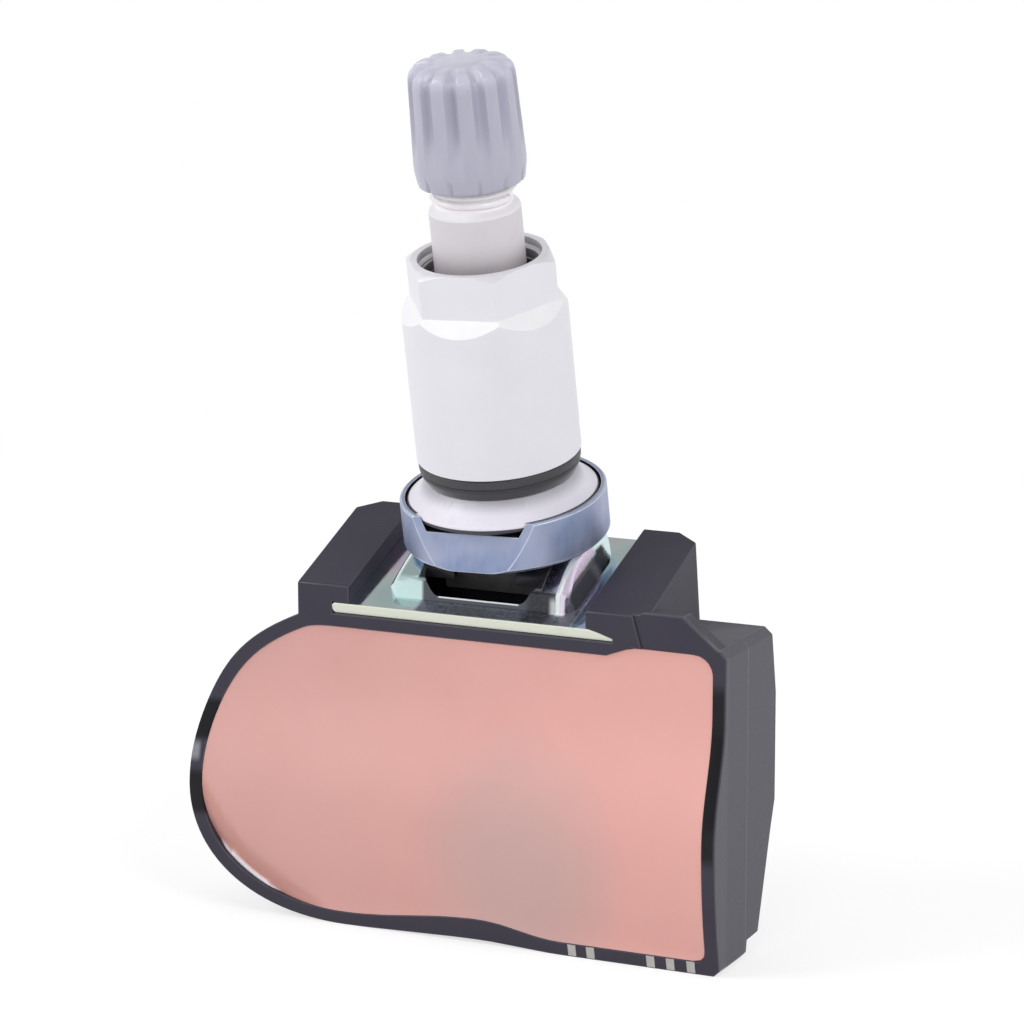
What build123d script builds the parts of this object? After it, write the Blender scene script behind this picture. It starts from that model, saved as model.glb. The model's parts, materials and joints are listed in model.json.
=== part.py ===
from build123d import *
import os
from math import atan2, cos, degrees, pi, radians, sin, sqrt

os.makedirs("parts", exist_ok=True)

# Clamp-in tyre pressure sensor: a metal valve on a swivelling saddle, and a potted transmitter below it.
# Millimetres. The origin is the centre of the rim seat on the valve axis.
# X runs along the housing, Y to its back and Z up. The valve leans to the front, the side of the potting.

# Lean of the valve and of the bracket, in degrees from upright
valve_lean = 12.5
bracket_lean = 20.5

# Fits
running_fit = 0.05
thread_fit = 0.05
face_gap = 0.03
free_gap = 0.30
flange_fit = 0.13

# Sleeve nut, sizes along the valve axis counted from the rim seat
nut_r = 7.40
nut_length = 18.6
hex_flats = 12.2
hex_length = 4.0
hex_corner_turn = 34.8
hex_top_chamfer = 0.55
mouth_r = 5.53
mouth_depth = 6.2
nut_foot_depth = 3.0

# Valve stem
shank_r = 4.95
shank_top = 13.2
stem_r = 4.08
collar_top = 23.45
collar_chamfer = 0.60
inflate_thread_r = 3.85
stem_top = 31.8
core_bore_r = 2.60
core_bore_depth = 11.6
poppet_bore_r = 2.25
poppet_bore_depth = 4.0
air_bore_r = 1.60
flange_edge = 1.05
flange_cone = 1.80
flange_knee_in = 1.15
flange_knee_rise = 0.75
flange_chamfer = 0.95
flange_chamfer_rise = 0.55
neck_r = 2.70

# Washer and rubber seal under the nut
washer_r = 7.30
washer_thick = 0.95
seal_top_r = 7.22
seal_foot_r = 6.72
seal_thick = 1.20
seal_neck_r = 5.65
seal_neck_rise = 2.2

# Saddle ring and the rocker under the bracket
saddle_r = 9.36
saddle_rim = 0.50
saddle_height = 4.45
saddle_rim_rise = 0.20
facet_top_width = 11.8
facet_foot_width = 6.2
facet_turn = 3
rocker_half_x = 5.2
rocker_half_y = 2.9
rocker_thick = 3.4

# Dust cap
cap_engage = 6.35
cap_length = 11.0
cap_foot_r = 4.95
cap_top_r = 4.60
cap_lead = 1.5
cap_lead_r = 4.66
cap_gasket_thick = 1.00
cap_dome = 0.75
cap_flutes = 12
flute_r = 1.15
flute_depth = 0.75
flute_run = 8.0
flute_turn = 5

# Valve core
core_r = 2.55
core_body_r = 2.15
core_sink = 0.6
core_length = 10.6
core_thread_length = 3.6
core_wall_r = 1.45
pin_r = 0.55
pin_collar_r = 1.20
pin_collar_drop = 2.0
pin_collar_thick = 0.5
core_floor = 0.8
poppet_r = 1.85
poppet_thick = 0.7
poppet_seal_thick = 0.5
spring_wire = 0.28
spring_turns = 6
core_ring_drop = 0.6
core_ring_length = 1.6

# Bracket: sheet with a formed arch that the saddle rocks on
sheet = 1.00
bracket_half_x = 13.8
bracket_depth = 15.1
bracket_front_y = -6.30
bracket_front_z = -14.10
arch_r = 11.0
arch_half_x = 7.9
arch_side_run = 1.3
arch_front = 2.0
arch_front_run = 0.6
arch_front_corner = 1.6
arch_back = 13.4
arch_back_run = 1.0
arch_edge_round = 1.1
arch_corner = 4.0
sheet_end_round = 0.40
sheet_end_taper = 2.6
slot_front = 2.2
slot_wide_back = 4.1
slot_half_wide = 5.6
slot_half_narrow = 3.0
slot_corner = 1.7

# Housing
left_reach = 27.6
left_reach_z = -32.0
right_reach = 24.6
base_z = -44.0
base_start_x = -12.4
base_hump = 0.35
neck_x = -17.3
neck_z = -15.5
end_start = (-0.92, -0.39)
end_pull_upper = (1.22, 1.38)
end_pull_lower = (1.00, 1.58)
shoulder_z = -14.85
shoulder_bevel = 0.7
front_y = -6.15
front_straight_z = -20.5
bulge_y = -8.45
bulge_z = -32.3
base_front_y = -6.90
back_top_y = 4.7
back_y = 5.9
back_upper_z = -21.0
back_lower_z = -30.9
back_slope_y = 4.9
back_slope_z = -33.6
back_foot_y = 2.1
back_step_z = -42.3
foot_back_y = -0.8
rim = 1.30
wall = 1.25

# Head of the housing: two blocks that hold the bracket's ends
block_rise = 1.60
block_left_lift = 0.36
block_left_in = 12.1
block_right_in = 11.2
block_right_out = 16.8
block_depth = 14.1
block_draft = 0.65
block_corner_x = 2.1
block_corner_v = 1.3
head_foot_z = -18.0
chamber_half_x = 7.6
chamber_floor_z = -15.35
chamber_front_y = -4.4
chamber_back_y = 5.9

# Number wall at the upper right of the front, with a bare sunk panel that runs out to the right
brow_top_z = -12.20
brow_foot_z = -13.05
brow_rise_x = 15.8
brow_end_x = 20.4
brow_thick = 2.1
window_corner = 1.8
panel_depth = 0.30
panel_end_x = 22.4

# Potting
potting_sink = 0.30
potting_top_z = -16.30
potting_brow_z = -15.40
brow_step_x = 13.2
brow_step_run = 2.4
window_ease = 4.0
sill_x = 1.2
sill_right = 8.2
sill_rise = 1.10

# Electronics
board_y = -0.30
board_thick = 0.80
board_gap = 0.60
board_foot_z = -40.6
cell_r = 10.0
cell_thick = 4.7
cell_in = 12.8
cell_z = -30.7
cell_wall = 0.40
cell_gasket = 0.65
tab_thick = 0.20
tab_width = 4.0
chip_in = 13.6
chip_z = -27.0
chip_side = 6.5
chip_thick = 2.2
port_r = 0.90
port_seal_r = 2.0
coil_in = 14.6
coil_z = -21.5
coil_length = 8.0
coil_side = 2.8
coil_core = 1.6
coil_flange = 0.8
crystal_in = 6.6
crystal_z = -24.5
crystal_long = 3.2
crystal_wide = 2.5
crystal_thick = 0.9
antenna_in = 14.1
antenna_z = -37.5
antenna_span = 20.0
antenna_height = 4.2
antenna_wide = 1.6
antenna_thick = 0.5
capacitor_long = 2.0
capacitor_wide = 1.25
capacitor_thick = 1.0
capacitor_row_in = 20.6
capacitor_row_z = -28.0
capacitor_pitch = 3.2


def turned(*points):
    outline = Polyline(*[(r, 0, s) for r, s in points], close=True)
    return revolve(make_face(outline), Axis.Z)


def ring(inner, outer, low, high):
    return turned((inner, low), (outer, low), (outer, high), (inner, high))


def block(x0, x1, y0, y1, z0, z1):
    return Pos((x0 + x1) / 2, (y0 + y1) / 2, (z0 + z1) / 2) * Box(x1 - x0, y1 - y0, z1 - z0)


def polygon(*points):
    return make_face(Polyline(*points, close=True))


def along_y(face, y0, y1):
    return Pos(0, y1, 0) * extrude(Plane.XZ * face, amount=y1 - y0)


def along_x(face, x0, x1):
    return Pos(x0, 0, 0) * extrude(Plane.YZ * face, amount=x1 - x0)


# Places of the two leaning frames
on_valve = Rot(valve_lean, 0, 0)
on_bracket = Pos(0, bracket_front_y, bracket_front_z) * Rot(bracket_lean, 0, 0)

# Longest reach that a cut needs to go right through
reach = left_reach + right_reach

# Flange in the saddle's recess, with the knee where its dished face turns steeper
flange_r = saddle_r - saddle_rim - flange_fit
flange_knee_r = flange_r - flange_knee_in

# Stations along the valve axis
seal_foot = -washer_thick - seal_thick
flange_rim = seal_foot - flange_cone
flange_foot = flange_rim - flange_edge
saddle_top = flange_rim + saddle_rim_rise
saddle_foot = saddle_top - saddle_height
swivel_s = saddle_foot - running_fit - arch_r

# Electronics, placed from the housing's ends
cell_x = cell_in - left_reach
chip_x = right_reach - chip_in
coil_x = right_reach - coil_in
crystal_x = right_reach - crystal_in
antenna_x = right_reach - antenna_in
capacitor_row_x = right_reach - capacitor_row_in

# Swivel axis seen from the bracket's front edge: along the sheet and above it
swivel_y = -swivel_s * sin(radians(valve_lean)) - bracket_front_y
swivel_z = swivel_s * cos(radians(valve_lean)) - bracket_front_z
tilt = radians(bracket_lean)
swivel_v = swivel_y * cos(tilt) + swivel_z * sin(tilt)
swivel_w = -swivel_y * sin(tilt) + swivel_z * cos(tilt)

# Sleeve nut: round barrel with a turned-down hexagon and a wide mouth round the stem
hex_foot = nut_length - hex_length
ledge = nut_r - hex_flats / 2 + 0.1
barrel = Pos(0, 0, (hex_foot - ledge) / 2) * Cylinder(nut_r, hex_foot - ledge)
small_hex = Pos(0, 0, hex_foot) * RegularPolygon(hex_flats / 2, 6, major_radius=False)
large_hex = Pos(0, 0, hex_foot - ledge) * RegularPolygon(hex_flats / 2 + ledge, 6, major_radius=False)
hexagon = loft([large_hex, small_hex]) + extrude(small_hex, amount=hex_length)
corner_r = hex_flats / 2 / cos(pi / 6)
crown = turned(
    (0, 0),
    (nut_r, 0),
    (nut_r, hex_foot),
    (corner_r + hex_top_chamfer * 0.1, nut_length - hex_top_chamfer * 1.1),
    (corner_r - hex_top_chamfer * 1.6, nut_length),
    (0, nut_length),
)
hexagon = Rot(0, 0, hex_corner_turn - 90) * (hexagon & crown)
nut_bore = turned(
    (0, -1),
    (seal_neck_r + free_gap, -1),
    (seal_neck_r + free_gap, nut_foot_depth),
    (shank_r + thread_fit, nut_foot_depth + 0.8),
    (shank_r + thread_fit, nut_length - mouth_depth),
    (mouth_r - 0.25, nut_length - mouth_depth),
    (mouth_r - 0.25, nut_length - 1.0),
    (mouth_r, nut_length - 0.7),
    (mouth_r, nut_length + 1),
    (0, nut_length + 1),
)
sleeve_nut = on_valve * (barrel + hexagon - nut_bore)

# Washer that the nut turns on
nut_washer = on_valve * turned(
    (seal_neck_r + running_fit, -washer_thick),
    (washer_r - 0.08, -washer_thick),
    (washer_r, -washer_thick + 0.08),
    (washer_r, -0.2 - face_gap),
    (washer_r - 0.2, -face_gap),
    (seal_neck_r + running_fit, -face_gap),
)

# Rubber seal: its neck fills the hole in the rim
rubber_seal = on_valve * turned(
    (shank_r + running_fit, seal_foot),
    (seal_foot_r, seal_foot),
    (seal_top_r, -washer_thick - 0.35),
    (seal_top_r, -washer_thick),
    (seal_neck_r, -washer_thick),
    (seal_neck_r, seal_neck_rise - 0.5),
    (seal_neck_r - 0.4, seal_neck_rise),
    (shank_r + running_fit, seal_neck_rise),
)

# Valve stem with its dished flange, threaded shank and air bore
stem_foot = swivel_s + arch_r - sheet - running_fit - rocker_thick
valve_stem = on_valve * turned(
    (air_bore_r, stem_foot),
    (neck_r - 0.3, stem_foot),
    (neck_r, stem_foot + 0.3),
    (neck_r, flange_foot),
    (flange_r - flange_chamfer, flange_foot),
    (flange_r, flange_foot + flange_chamfer_rise),
    (flange_r, flange_rim),
    (flange_knee_r, flange_rim + flange_knee_rise),
    (seal_foot_r, seal_foot),
    (shank_r, seal_foot),
    (shank_r, shank_top - 0.5),
    (stem_r, shank_top),
    (stem_r, collar_top - collar_chamfer),
    (inflate_thread_r, collar_top),
    (inflate_thread_r, stem_top - 0.5),
    (inflate_thread_r - 0.4, stem_top),
    (core_bore_r + 0.25, stem_top),
    (core_bore_r, stem_top - 0.4),
    (core_bore_r, stem_top - core_bore_depth),
    (poppet_bore_r, stem_top - core_bore_depth - 0.3),
    (poppet_bore_r, stem_top - core_bore_depth - poppet_bore_depth),
    (air_bore_r, stem_top - core_bore_depth - poppet_bore_depth - 0.6),
)

# Saddle ring: the flange sits in its recess, and a sloping facet opens the recess at the front
saddle = turned(
    (neck_r + free_gap, saddle_foot),
    (saddle_r - 0.35, saddle_foot),
    (saddle_r, saddle_foot + 0.35),
    (saddle_r, saddle_top - 0.15),
    (saddle_r - 0.15, saddle_top),
    (saddle_r - saddle_rim, saddle_top),
    (saddle_r - saddle_rim, flange_foot),
    (neck_r + free_gap, flange_foot),
)
facet_top_y = sqrt(saddle_r**2 - (facet_top_width / 2) ** 2)
facet_foot_y = sqrt(saddle_r**2 - (facet_foot_width / 2) ** 2)
facet = polygon(
    (-facet_top_y, saddle_top),
    (-facet_foot_y, saddle_foot),
    (-saddle_r - 3, saddle_foot),
    (-saddle_r - 3, saddle_top),
)
saddle -= Rot(0, 0, facet_turn) * along_x(facet, -saddle_r, saddle_r)
saddle_ring = on_valve * saddle

# Rocker: the nut-like shoe under the arch, screwed on the neck
shoe_r = arch_r - sheet - running_fit
shoe = Pos(0, 0, swivel_s) * Rot(0, 90, 0) * Cylinder(shoe_r, 2 * rocker_half_x)
shoe_top = swivel_s + shoe_r
shoe &= block(-rocker_half_x, rocker_half_x, -rocker_half_y, rocker_half_y, shoe_top - rocker_thick, shoe_top)
shoe -= Pos(0, 0, shoe_top - rocker_thick / 2) * Cylinder(neck_r + thread_fit, 2 * rocker_thick)
rocker_shoe = on_valve * shoe

# Dust cap: fluted, hollow, with a lobed dome
cap_start = stem_top - cap_engage
cap_top = cap_start + cap_length
cap_shoulder = cap_top - cap_dome
cap = turned(
    (0, cap_start),
    (cap_lead_r, cap_start),
    (cap_foot_r - 0.12, cap_start + 0.6 * cap_lead),
    (cap_foot_r, cap_start + cap_lead),
    (cap_top_r + 0.1, cap_shoulder - 0.4),
    (cap_top_r - 0.25, cap_shoulder + 0.05),
    (cap_top_r - 1.3, cap_top - 0.2),
    (1.9, cap_top - 0.12),
    (1.6, cap_top),
    (0, cap_top),
)
flute_lean = degrees(atan2(flute_depth + cap_foot_r - cap_top_r, flute_run))
flute = Pos(cap_top_r - flute_depth + flute_r, 0, cap_top) * Rot(0, -flute_lean, 0) * Cylinder(
    flute_r, 2 * cap_length
)
cap -= [Rot(0, 0, flute_turn + 360 / cap_flutes * n) * flute for n in range(cap_flutes)]
cap_ceiling = stem_top + running_fit + cap_gasket_thick
cap_room_r = inflate_thread_r - 0.5
cap -= turned(
    (0, cap_start - 1),
    (inflate_thread_r + 0.35, cap_start - 1),
    (inflate_thread_r + 0.35, cap_start + 0.2),
    (inflate_thread_r + thread_fit, cap_start + 0.6),
    (inflate_thread_r + thread_fit, stem_top),
    (cap_room_r, stem_top + 0.2),
    (cap_room_r, cap_ceiling),
    (0, cap_ceiling),
)
dust_cap = on_valve * cap
gasket_hole_r = 0.36 * inflate_thread_r
gasket_r = cap_room_r - running_fit
cap_gasket = on_valve * ring(gasket_hole_r, gasket_r, stem_top + running_fit, cap_ceiling - face_gap)

# Valve core: barrel, its sealing ring, and the sprung pin with its poppet
core_top = stem_top - core_sink
core_foot = core_top - core_length
core_step = core_top - core_thread_length
core_barrel = on_valve * turned(
    (pin_r + running_fit, core_foot),
    (core_body_r - 0.2, core_foot),
    (core_body_r, core_foot + 0.2),
    (core_body_r, core_step),
    (core_r, core_step + 0.3),
    (core_r, core_top),
    (core_wall_r, core_top),
    (core_wall_r, core_foot + core_floor),
    (pin_r + running_fit, core_foot + core_floor),
)
core_ring_top = core_step - core_ring_drop
core_ring_foot = core_ring_top - core_ring_length
core_ring = on_valve * ring(core_body_r + running_fit, core_r, core_ring_foot, core_ring_top)
collar_face = core_top - pin_collar_drop
seal_face = core_foot - running_fit
core_pin = on_valve * turned(
    (0, seal_face - poppet_seal_thick - poppet_thick),
    (poppet_r, seal_face - poppet_seal_thick - poppet_thick),
    (poppet_r, seal_face - poppet_seal_thick),
    (pin_r, seal_face - poppet_seal_thick),
    (pin_r, collar_face - pin_collar_thick),
    (pin_collar_r, collar_face - pin_collar_thick),
    (pin_collar_r, collar_face),
    (pin_r, collar_face),
    (pin_r, core_top + 0.2),
    (pin_r - 0.15, core_top + 0.35),
    (0, core_top + 0.35),
)
poppet_seal = on_valve * ring(pin_r + running_fit, poppet_r - 0.1, seal_face - poppet_seal_thick, seal_face)

# Spring of the core: wire coiled round the pin between the barrel's floor and the collar
spring_low = core_foot + core_floor
spring_high = collar_face - pin_collar_thick
spring_mid_r = (pin_r + core_wall_r) / 2
spring_pitch = (spring_high - spring_low - spring_wire) / spring_turns
coil_path = Helix(spring_pitch, spring_high - spring_low - spring_wire, spring_mid_r)
coil_path = Pos(0, 0, spring_low + spring_wire / 2) * coil_path
wire_section = Plane(coil_path @ 0, z_dir=coil_path % 0) * RegularPolygon(spring_wire / 2, 6)
core_spring = on_valve * sweep(wire_section, coil_path)

# Bracket: flat sheet, formed arch with closed sides, and a keyhole slot for the neck
inner_r = arch_r - sheet
inner_front = arch_front + 0.9 * sheet
inner_back = arch_back - 0.7 * sheet


def arch_height(radius, v):
    return swivel_w + sqrt(radius**2 - (v - swivel_v) ** 2)


def arch_side(radius, front, back, back_run, foot):
    top_front = (front + arch_front_run, arch_height(radius, front + arch_front_run))
    top_back = (back, arch_height(radius, back))
    return make_face(
        [
            ThreePointArc(top_front, (swivel_v, swivel_w + radius), top_back),
            Polyline(
                top_back,
                (back + back_run, foot),
                (back + back_run, foot - sheet),
                (front, foot - sheet),
                (front, foot),
                top_front,
            ),
        ]
    )


outer_arch = arch_side(arch_r, arch_front, arch_back, arch_back_run, 0)
inner_arch = arch_side(inner_r, inner_front, inner_back, 0.7 * arch_back_run, -sheet)
arch_rise = swivel_w + arch_r


def sloping_sides(inset):
    foot = arch_half_x + arch_side_run - inset
    top = arch_half_x - inset
    below = arch_side_run * sheet / arch_rise
    return along_y(
        polygon(
            (-top, arch_rise),
            (-foot, 0),
            (-foot - below, -sheet),
            (foot + below, -sheet),
            (foot, 0),
            (top, arch_rise),
        ),
        -reach,
        reach,
    )


arch_foot = arch_half_x + 2 * arch_side_run
arch_body = along_x(outer_arch, -arch_foot, arch_foot) & sloping_sides(0)
side_arcs = arch_body.edges().filter_by(GeomType.ELLIPSE)
arch_body = fillet(side_arcs, arch_edge_round)
arch_plan_half = arch_half_x + arch_side_run
arch_plan = block(
    -arch_plan_half, arch_plan_half, arch_front - 0.1, arch_back + arch_back_run, -reach, reach
)
arch_plan = fillet(arch_plan.edges().filter_by(Axis.Z).group_by(Axis.Y)[-1], arch_corner)
arch_plan = fillet(arch_plan.edges().filter_by(Axis.Z).group_by(Axis.Y)[0], arch_front_corner)
arch_body &= arch_plan
neck_turn = radians(bracket_lean - valve_lean)
neck_v = swivel_v + arch_r * sin(neck_turn)
slot_back = neck_v + neck_r + 0.12
slot_round_v = slot_back - slot_half_narrow
narrow = block(-slot_half_narrow, slot_half_narrow, slot_front, slot_round_v, -reach, reach)
narrow += Pos(0, slot_round_v, 0) * Cylinder(slot_half_narrow, 2 * reach)
wide = block(-slot_half_wide, slot_half_wide, slot_front, slot_wide_back, -reach, reach)
wide = fillet(wide.edges().filter_by(Axis.Z).group_by(Axis.Y)[0], slot_corner)
flat = block(-bracket_half_x, bracket_half_x, 0, bracket_depth, -sheet, 0)
flat = fillet(flat.edges().filter_by(Axis.Y).group_by(Axis.X)[0], sheet_end_round)
end_taper = polygon(
    (bracket_half_x - sheet_end_taper, 0.1),
    (bracket_half_x, 0.1 - 0.8 * sheet),
    (bracket_half_x + 1, 0.1 - 0.8 * sheet),
    (bracket_half_x + 1, 0.1),
)
end_taper = along_y(end_taper, -reach, reach)
flat -= end_taper
formed = flat + arch_body
formed -= along_x(inner_arch, -arch_foot, arch_foot) & sloping_sides(sheet)
formed -= narrow
formed -= wide
bracket = on_bracket * formed

# Housing outline seen from the front: a large round end at the left, straight sides elsewhere
def round_end(inset):
    start = (neck_x - end_start[1] * inset, neck_z + end_start[0] * inset)
    end = (inset - left_reach, left_reach_z)
    foot = (base_start_x, base_z + inset)
    upper = Spline(start, end, tangents=[end_start, (0, -1)], tangent_scalars=end_pull_upper)
    lower = Spline(end, foot, tangents=[(0, -1), (1, 0)], tangent_scalars=end_pull_lower)
    return [upper, lower]


# Lower edge with a shallow rise in the middle, from the round end to the right
def humped(foot, rise, right):
    low_left = (base_start_x, foot)
    top = (sill_x, foot + rise)
    low_right = (sill_x + sill_right, foot)
    climb = Spline(low_left, top, tangents=[(1, 0), (1, 0)])
    fall = Spline(top, low_right, tangents=[(1, 0), (1, 0)])
    return [climb, fall, Line(low_right, (right, foot))]


outline = make_face(
    round_end(0)
    + humped(base_z, base_hump, right_reach - 0.6)
    + [
        Polyline(
            (right_reach - 0.6, base_z),
            (right_reach, base_z + 0.6),
            (right_reach, shoulder_z - shoulder_bevel),
            (right_reach - shoulder_bevel, shoulder_z),
            (neck_x, shoulder_z),
            (neck_x, neck_z),
        )
    ]
)


# Housing seen from the right: a front that swells and draws in again, and a faceted back
def swelling_front(sink):
    top = (front_y + sink, front_straight_z)
    middle = (bulge_y + sink, bulge_z)
    foot = (base_front_y + sink, base_z)
    upper = Spline(top, middle, tangents=[(0, -1), (0, -1)])
    lower = Spline(middle, foot, tangents=[(0, -1), (0.25, -1)])
    return [upper, lower]


profile = make_face(
    swelling_front(0)
    + [
        Polyline(
            (base_front_y, base_z),
            (foot_back_y, base_z),
            (foot_back_y + 0.3, back_step_z - 0.1),
            (back_foot_y, back_step_z),
            (back_slope_y, back_slope_z),
            (back_y, back_lower_z),
            (back_y - 0.05, back_upper_z),
            (back_top_y, shoulder_z),
            (front_y, shoulder_z),
            (front_y, front_straight_z),
        )
    ]
)
shell = along_y(outline, bulge_y - 2, back_y + 2) & along_x(profile, -reach, reach)

# Head with the two blocks, sloping like the bracket
block_front_z = bracket_front_z + block_rise
block_back_y = bracket_front_y + block_depth * cos(tilt)
block_back_z = block_front_z + block_depth * sin(tilt)


def head_side(lift):
    return polygon(
        (front_y, head_foot_z),
        (front_y, block_front_z),
        (block_back_y, block_back_z + lift),
        (block_back_y, shoulder_z - 0.5),
        (back_y - 0.2, head_foot_z),
    )


head = along_x(head_side(0), neck_x, block_right_out + block_draft)
head += along_x(head_side(block_left_lift), neck_x, -block_left_in)
draft_cut = polygon(
    (block_right_out, 0),
    (block_right_out, block_back_z),
    (block_right_out + block_draft, shoulder_z),
    (block_right_out + 9, shoulder_z),
    (block_right_out + 9, 0),
)
head -= along_y(draft_cut, front_y - 9, block_back_y + 9)
for corner_x, side in ((neck_x, 1), (block_right_out, -1)):
    cut = polygon(
        (corner_x + side * block_corner_x, block_back_y),
        (corner_x + side * block_corner_x, block_back_y + 1),
        (corner_x - side * block_corner_x, block_back_y + 1),
        (corner_x - side * block_corner_x, block_back_y - 2 * block_corner_v),
    )
    head -= Pos(0, 0, head_foot_z) * extrude(cut, amount=reach)

# Number wall in front of the right shoulder
brow = polygon(
    (block_right_in, head_foot_z),
    (block_right_in, brow_foot_z),
    (brow_rise_x, brow_foot_z + 0.35),
    (brow_rise_x + 0.7, brow_top_z),
    (brow_end_x, brow_top_z),
    (right_reach, brow_top_z - (right_reach - brow_end_x) * 0.80),
    (right_reach, head_foot_z),
)
body = shell + head + along_y(brow, front_y, front_y + brow_thick)

# Room above the bracket between the blocks, the bracket's own bed, and the chamber for the rocker
over_sheet = block(-block_left_in, block_right_in, -sheet, reach, -sheet, reach)
bed = block(-bracket_half_x, bracket_half_x, -sheet, reach, -sheet, 0) - end_taper
body -= on_bracket * over_sheet
body -= on_bracket * bed
body -= block(-chamber_half_x, chamber_half_x, chamber_front_y, chamber_back_y, chamber_floor_z, 0)

# Cavity for the electronics, open at the front, with the same rise in its lower edge
def window(gap):
    inset = rim + gap
    foot = base_z + inset
    top = potting_top_z - gap
    brow_edge = potting_brow_z - gap
    right = right_reach - inset
    ease = (neck_x + window_ease, top)
    start = (neck_x - end_start[1] * inset, neck_z + end_start[0] * inset)
    side = Polyline((right - 0.6, foot), (right, foot + 0.6), (right, brow_edge - window_corner))
    corner = RadiusArc((right, brow_edge - window_corner), (right - window_corner, brow_edge), -window_corner)
    head_edge = Polyline(
        (right - window_corner, brow_edge),
        (brow_step_x + brow_step_run + gap, brow_edge),
        (brow_step_x + gap, top),
        ease,
    )
    easing = Spline(ease, start, tangents=[(-1, 0), end_start])
    lower_edge = humped(foot, sill_rise, right - 0.6)
    return make_face(round_end(inset) + lower_edge + [side, corner, head_edge, easing])


opening = window(0)
hollow_side = polygon(
    (bulge_y - 3, base_z),
    (foot_back_y - wall, base_z),
    (foot_back_y - wall, back_step_z + wall),
    (back_foot_y - wall, back_step_z + wall),
    (back_slope_y - wall, back_slope_z),
    (back_y - wall, back_lower_z),
    (back_y - wall, back_upper_z),
    (back_y - wall - 0.5, potting_brow_z + 1),
    (bulge_y - 3, potting_brow_z + 1),
)
hollow = along_y(opening, bulge_y - 3, back_y) & along_x(hollow_side, -reach, reach)
body -= hollow

# Pressure port in the back wall, and the bare panel on the number wall
port = along_y(Pos(chip_x, chip_z) * Circle(port_r), 0, back_y + 2)
panel_side = polygon(
    (brow_rise_x - 0.5, brow_top_z + 1),
    (brow_rise_x + 0.9, potting_brow_z - 0.5),
    (panel_end_x, potting_brow_z - 0.5),
    (panel_end_x, brow_top_z + 1),
)
panel_ramp = polygon(
    (brow_rise_x - 1, front_y + panel_depth),
    (panel_end_x, front_y),
    (panel_end_x, front_y - 1),
    (brow_rise_x - 1, front_y - 1),
)
panel = along_y(panel_side, front_y - 1, front_y + 1)
panel &= Pos(0, 0, potting_brow_z - 1) * extrude(panel_ramp, amount=reach)
body -= port
body -= panel
housing = body

# Circuit board
board_back = board_y + board_thick
board_face = window(board_gap)
board_strip = block(-reach, reach, board_y, board_back, board_foot_z, 0)
circuit_board = along_y(board_face, board_y, board_back) & board_strip

# Coin cell: can, gasket and lid
cell_back = board_y - tab_thick
cell_front = cell_back - cell_thick
cell_at = Pos(cell_x, cell_z)
can = along_y(cell_at * Circle(cell_r), cell_front, cell_back)
can_room = along_y(cell_at * Circle(cell_r - cell_wall), cell_front - 1, cell_back - cell_wall)
cell_can = can - can_room
cell_gasket_r = cell_r - cell_wall - running_fit
gasket_face = cell_at * (Circle(cell_gasket_r) - Circle(cell_gasket_r - cell_gasket))
cell_gasket_ring = along_y(gasket_face, cell_front, cell_back - cell_wall)
lid_r = cell_gasket_r - cell_gasket - running_fit
cell_lid = along_y(cell_at * Circle(lid_r), cell_front - 0.1, cell_back - cell_wall)

# Welded tabs from the cell to the board
tab_reach = cell_x + cell_r
plus_tab = block(cell_x, tab_reach + 3, cell_back, board_y, cell_z - tab_width / 2, cell_z + tab_width / 2)
lid_face = cell_front - 0.1
minus_side = Polyline(
    (cell_x, lid_face),
    (tab_reach + 2, lid_face),
    (tab_reach + 2, board_y),
    (tab_reach + 2 + tab_thick, board_y),
    (tab_reach + 2 + tab_thick, lid_face - tab_thick),
    (cell_x, lid_face - tab_thick),
    close=True,
)
minus_tab_z = cell_z + tab_width
minus_tab = Pos(0, 0, minus_tab_z) * extrude(make_face(minus_side), amount=tab_width)

# Sensor package on the back of the board, sealed to the port
chip = block(
    chip_x - chip_side / 2,
    chip_x + chip_side / 2,
    board_back,
    board_back + chip_thick,
    chip_z - chip_side / 2,
    chip_z + chip_side / 2,
)
chip_mouth = along_y(Pos(chip_x, chip_z) * Circle(port_r), board_back + 0.8, board_back + chip_thick + 1)
sensor_chip = chip - chip_mouth
seal_section = Pos(chip_x, chip_z) * (Circle(port_seal_r) - Circle(port_r))
port_seal = along_y(seal_section, board_back + chip_thick, back_y - wall)

# Low-frequency wake-up coil: ferrite bobbin and its winding
coil_foot = board_y
coil_mid_y = coil_foot - coil_side / 2
coil_half = coil_length / 2
core_bar = Pos(coil_x, coil_mid_y, coil_z) * Box(coil_length, coil_core, coil_core)
coil_cheek = Box(coil_flange, coil_side, coil_side)
core_bar += Pos(coil_x - coil_half + coil_flange / 2, coil_mid_y, coil_z) * coil_cheek
core_bar += Pos(coil_x + coil_half - coil_flange / 2, coil_mid_y, coil_z) * coil_cheek
winding_length = coil_length - 2 * coil_flange
winding = Pos(coil_x, coil_mid_y, coil_z) * Box(winding_length, coil_side - 0.3, coil_side - 0.3)
coil_winding = winding - Pos(coil_x, coil_mid_y, coil_z) * Box(coil_length, coil_core, coil_core)

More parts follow.
